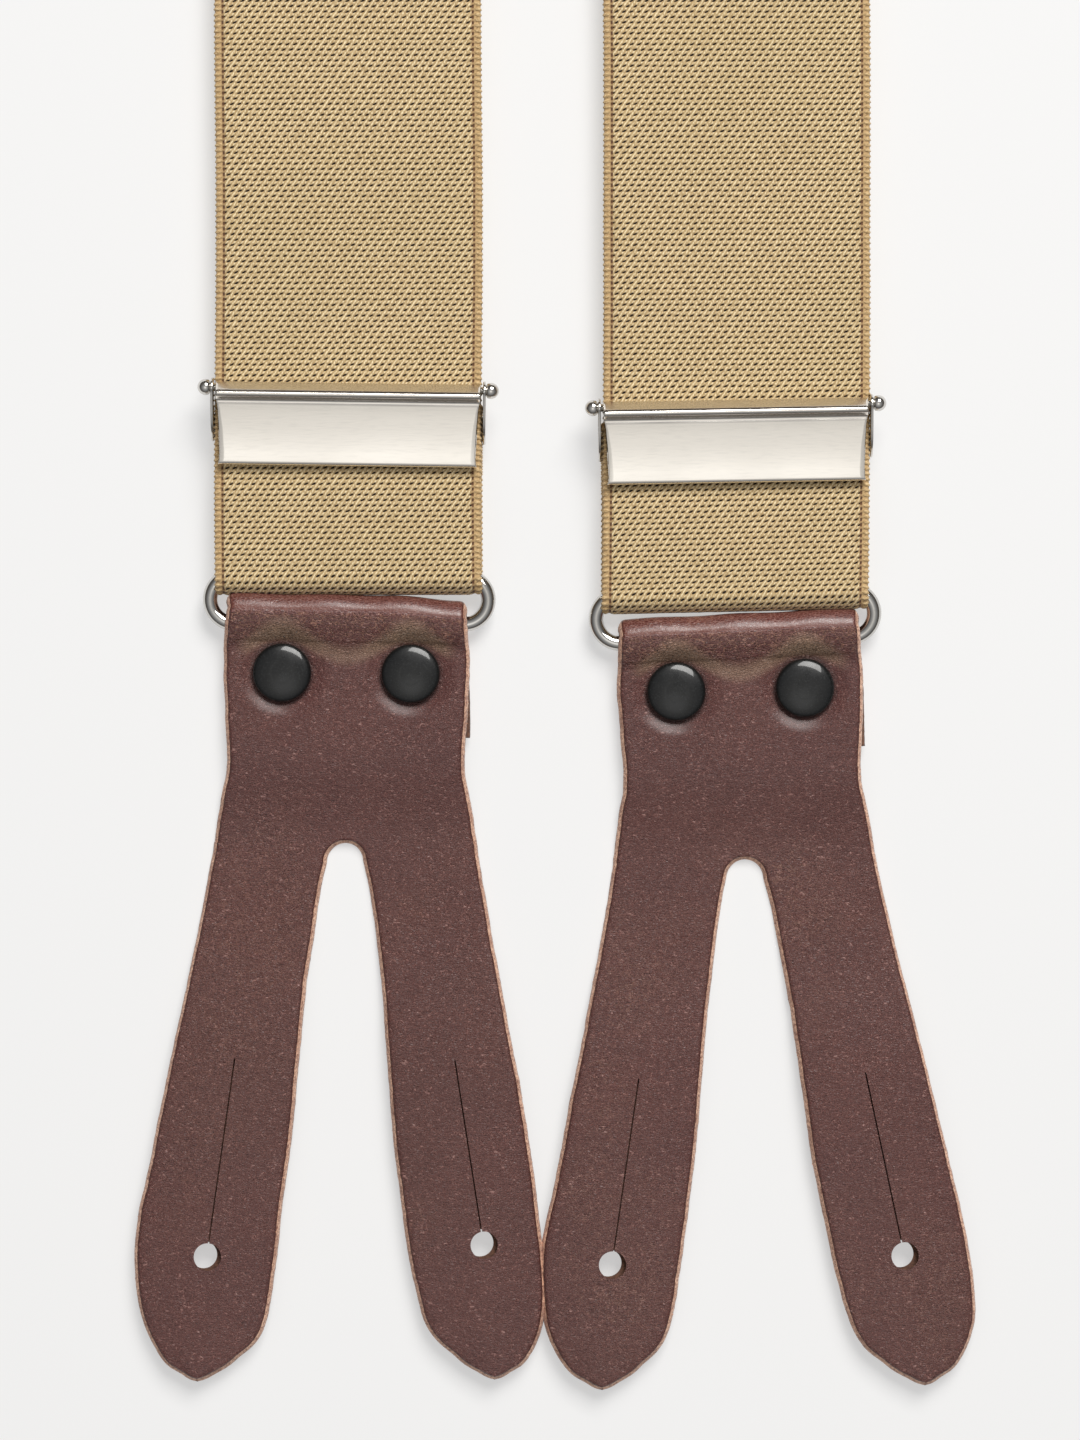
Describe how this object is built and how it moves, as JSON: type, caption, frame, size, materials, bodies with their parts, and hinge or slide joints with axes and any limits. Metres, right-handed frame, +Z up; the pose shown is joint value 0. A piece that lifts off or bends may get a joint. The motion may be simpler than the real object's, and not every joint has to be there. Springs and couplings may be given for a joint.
{
  "type": "button suspenders",
  "caption": "Wide elastic button suspenders with lever adjusters, wire rings, forked leather tabs and a Y-shaped leather back patch, laid flat.",
  "frame": {"origin": "on the table under the middle of the whole length and width", "axes": "+X to the right seen from above, +Y from the front tabs to the back tab along the straps, +Z up from the table"},
  "size_m": [0.1548, 1.1128, 0.0106],
  "materials": {
    "elastic_web": "tan woven elastic with small dark slanted dashes and ribbed edges",
    "leather": "chestnut brown, fine grain, satin, raw tan edges",
    "nickel_adjuster": "bright nickel plate",
    "ring_wire": "polished nickel-plated steel wire",
    "black_rivet": "black oxide, satin"
  },
  "bodies": {
    "root": {"left_web_rear": "elastic_web", "right_web_rear": "elastic_web", "back_patch_top": "leather", "back_patch_bottom": "leather", "back_web": "elastic_web", "back_web_loop": "elastic_web"},
    "left_strap": {"left_web_front": "elastic_web"},
    "left_loop": {"left_web_loop": "elastic_web"},
    "left_adjuster": {"left_adjuster_frame": "nickel_adjuster", "left_adjuster_pin": "nickel_adjuster"},
    "left_lever": {"left_adjuster_lever": "nickel_adjuster"},
    "left_ring": {"left_ring": "ring_wire"},
    "left_tab": {"left_tab": "leather", "left_rivet_cap_a": "black_rivet", "left_rivet_cap_b": "black_rivet", "left_rivet_back_a": "black_rivet", "left_rivet_back_b": "black_rivet"},
    "right_strap": {"right_web_front": "elastic_web"},
    "right_loop": {"right_web_loop": "elastic_web"},
    "right_adjuster": {"right_adjuster_frame": "nickel_adjuster", "right_adjuster_pin": "nickel_adjuster"},
    "right_lever": {"right_adjuster_lever": "nickel_adjuster"},
    "right_ring": {"right_ring": "ring_wire"},
    "right_tab": {"right_tab": "leather", "right_rivet_cap_a": "black_rivet", "right_rivet_cap_b": "black_rivet", "right_rivet_back_a": "black_rivet", "right_rivet_back_b": "black_rivet"},
    "back_ring": {"back_ring": "ring_wire"},
    "back_tab": {"back_tab": "leather", "back_rivet_cap_a": "black_rivet", "back_rivet_cap_b": "black_rivet", "back_rivet_back_a": "black_rivet", "back_rivet_back_b": "black_rivet"}
  },
  "joints": [
    {"name": "left_shoulder_fold", "type": "hinge", "parent": "root", "child": "left_strap", "pos_m": [-0.03848, -0.0079, 0.0055], "axis": [-1, 0, 0], "range_deg": [0, 150]},
    {"name": "left_length_slide", "type": "slide", "parent": "left_strap", "child": "left_loop", "axis": [0, 1, 0], "range_m": [0, 0.04], "deforming": ["left_web_loop"]},
    {"name": "left_adjuster_slide", "type": "slide", "parent": "left_loop", "child": "left_adjuster", "axis": [0, 1, 0], "range_m": [0, 0.04]},
    {"name": "left_lever_flip", "type": "hinge", "parent": "left_adjuster", "child": "left_lever", "pos_m": [-0.03848, -0.36755, 0.009], "axis": [-0.9999, 0.014, 0], "range_deg": [0, 110]},
    {"name": "left_ring_swing", "type": "hinge", "parent": "left_loop", "child": "left_ring", "pos_m": [-0.03848, -0.40225, 0.0036], "axis": [-1, 0.0035, 0], "range_deg": [-60, 60]},
    {"name": "left_tab_swing", "type": "hinge", "parent": "left_ring", "child": "left_tab", "pos_m": [-0.03851, -0.4113, 0.0036], "axis": [-1, 0.0035, 0], "range_deg": [-70, 70]},
    {"name": "right_shoulder_fold", "type": "hinge", "parent": "root", "child": "right_strap", "pos_m": [0.03342, -0.0079, 0.0055], "axis": [-1, 0, 0], "range_deg": [0, 150]},
    {"name": "right_length_slide", "type": "slide", "parent": "right_strap", "child": "right_loop", "axis": [0, 1, 0], "range_m": [0, 0.04], "deforming": ["right_web_loop"]},
    {"name": "right_adjuster_slide", "type": "slide", "parent": "right_loop", "child": "right_adjuster", "axis": [0, 1, 0], "range_m": [0, 0.04]},
    {"name": "right_lever_flip", "type": "hinge", "parent": "right_adjuster", "child": "right_lever", "pos_m": [0.03342, -0.37065, 0.009], "axis": [-0.9998, -0.0175, 0], "range_deg": [0, 110]},
    {"name": "right_ring_swing", "type": "hinge", "parent": "right_loop", "child": "right_ring", "pos_m": [0.03342, -0.40535, 0.0036], "axis": [-0.9997, -0.0262, 0], "range_deg": [-60, 60]},
    {"name": "right_tab_swing", "type": "hinge", "parent": "right_ring", "child": "right_tab", "pos_m": [0.03366, -0.4144, 0.0036], "axis": [-0.9997, -0.0262, 0], "range_deg": [-70, 70]},
    {"name": "back_ring_swing", "type": "hinge", "parent": "root", "child": "back_ring", "pos_m": [-0.00288, 0.40615, 0.0036], "axis": [1, 0, 0], "range_deg": [-60, 60], "deforming": ["back_web_loop"]},
    {"name": "back_tab_swing", "type": "hinge", "parent": "back_ring", "child": "back_tab", "pos_m": [-0.00288, 0.4152, 0.0036], "axis": [1, 0, 0], "range_deg": [-70, 70]}
  ],
  "couplings": [
    {"joint": "left_adjuster_slide", "follows": "left_length_slide", "ratio": 1},
    {"joint": "right_adjuster_slide", "follows": "right_length_slide", "ratio": 1}
  ]
}
